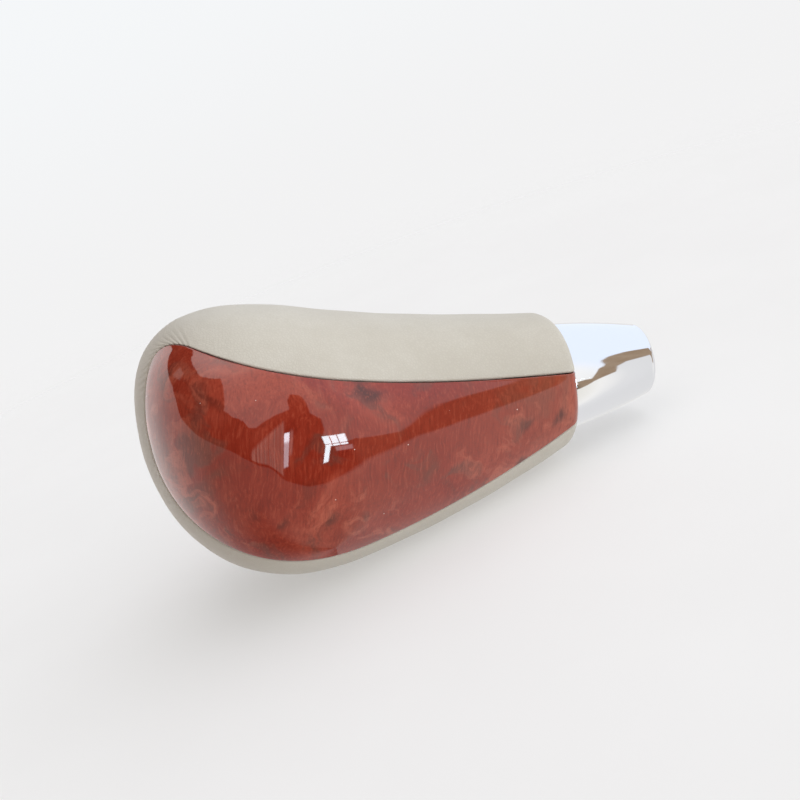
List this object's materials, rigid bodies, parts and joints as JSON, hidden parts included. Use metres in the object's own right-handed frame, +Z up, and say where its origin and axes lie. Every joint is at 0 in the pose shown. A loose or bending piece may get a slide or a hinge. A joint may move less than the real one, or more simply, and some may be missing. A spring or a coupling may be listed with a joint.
{
  "type": "gear shift knob",
  "caption": "Leather-wrapped gear shift knob with glossy burl wood side panels, a tapered chrome collar and a threaded insert for the lever.",
  "frame": {"origin": "centre of the bounding box's bottom face: the knob lies on its belly and touches the ground there", "axes": "+X from the head toward the chrome collar, +Z up through the spine strip, the wood panels face -Y and +Y"},
  "size_m": [0.1162, 0.0572, 0.0639],
  "materials": {
    "burl_wood": "glossy clear lacquer",
    "leather": "matt, fine grain",
    "carrier_plastic": "moulded",
    "core_plastic": "moulded",
    "screw_steel": "zinc plated",
    "insert_brass": "turned",
    "chrome": "mirror",
    "spring_steel": "drawn wire",
    "bush_rubber": "matt"
  },
  "bodies": {
    "root": {"right_wood_panel": "burl_wood", "left_wood_panel": "burl_wood", "right_panel_carrier": "carrier_plastic", "left_panel_carrier": "carrier_plastic", "leather_wrap": "leather", "right_core_half": "core_plastic", "left_core_half": "core_plastic", "core_screw_1": "screw_steel", "core_screw_2": "screw_steel", "core_screw_3": "screw_steel", "threaded_insert": "insert_brass", "chrome_collar": "chrome", "snap_ring": "spring_steel", "mouth_bush": "bush_rubber"}
  },
  "joints": []
}
